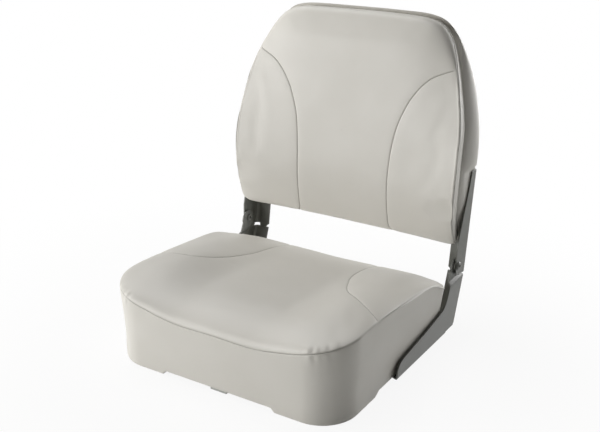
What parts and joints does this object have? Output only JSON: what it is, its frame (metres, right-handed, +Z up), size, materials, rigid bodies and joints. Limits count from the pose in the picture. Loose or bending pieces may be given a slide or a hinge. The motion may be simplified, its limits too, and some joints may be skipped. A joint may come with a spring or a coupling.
{
  "type": "folding boat seat",
  "caption": "Low-back padded boat seat: vinyl seat and backrest cushions joined by steel side hinges, so the backrest folds forwards.",
  "frame": {"origin": "centre of the square pedestal screw pattern, on the underside of the seat pan", "axes": "+Z up, -Y the way the sitter faces, +X to the right as seen from the front"},
  "size_m": [0.4182, 0.445, 0.493],
  "materials": {
    "vinyl": "off-white marine vinyl, fine leather grain, semi-matt",
    "foam": "pale yellow open-cell upholstery foam",
    "moulded_plastic": "grey moulded structural plastic, satin",
    "hinge_paint": "grey painted steel sheet, semi-gloss",
    "fastener_steel": "plain steel rivets and screws",
    "nylon": "natural nylon",
    "brass": "knurled threaded inserts"
  },
  "bodies": {
    "seat": {"seat_cover": "vinyl", "seat_foam": "foam", "seat_pan": "moulded_plastic", "mount_insert_front_left": "brass", "mount_insert_front_right": "brass", "mount_insert_rear_left": "brass", "mount_insert_rear_right": "brass", "hinge_lower_left": "hinge_paint", "hinge_lower_right": "hinge_paint", "pivot_rivet_left": "fastener_steel", "pivot_rivet_right": "fastener_steel", "pivot_washer_left": "nylon", "pivot_washer_right": "nylon", "base_screw_left_1": "fastener_steel", "base_screw_left_2": "fastener_steel", "base_screw_left_3": "fastener_steel", "base_screw_right_1": "fastener_steel", "base_screw_right_2": "fastener_steel", "base_screw_right_3": "fastener_steel"},
    "backrest": {"back_cover": "vinyl", "back_foam": "foam", "back_frame": "moulded_plastic", "hinge_upper_left": "hinge_paint", "hinge_upper_right": "hinge_paint", "back_screw_left_1": "fastener_steel", "back_screw_left_2": "fastener_steel", "back_screw_left_3": "fastener_steel", "back_screw_right_1": "fastener_steel", "back_screw_right_2": "fastener_steel", "back_screw_right_3": "fastener_steel"}
  },
  "joints": [
    {"name": "backrest_fold", "type": "hinge", "parent": "seat", "child": "backrest", "pos_m": [0, 0.204, 0.109], "axis": [1, 0, 0], "range_deg": [0, 71]}
  ]
}
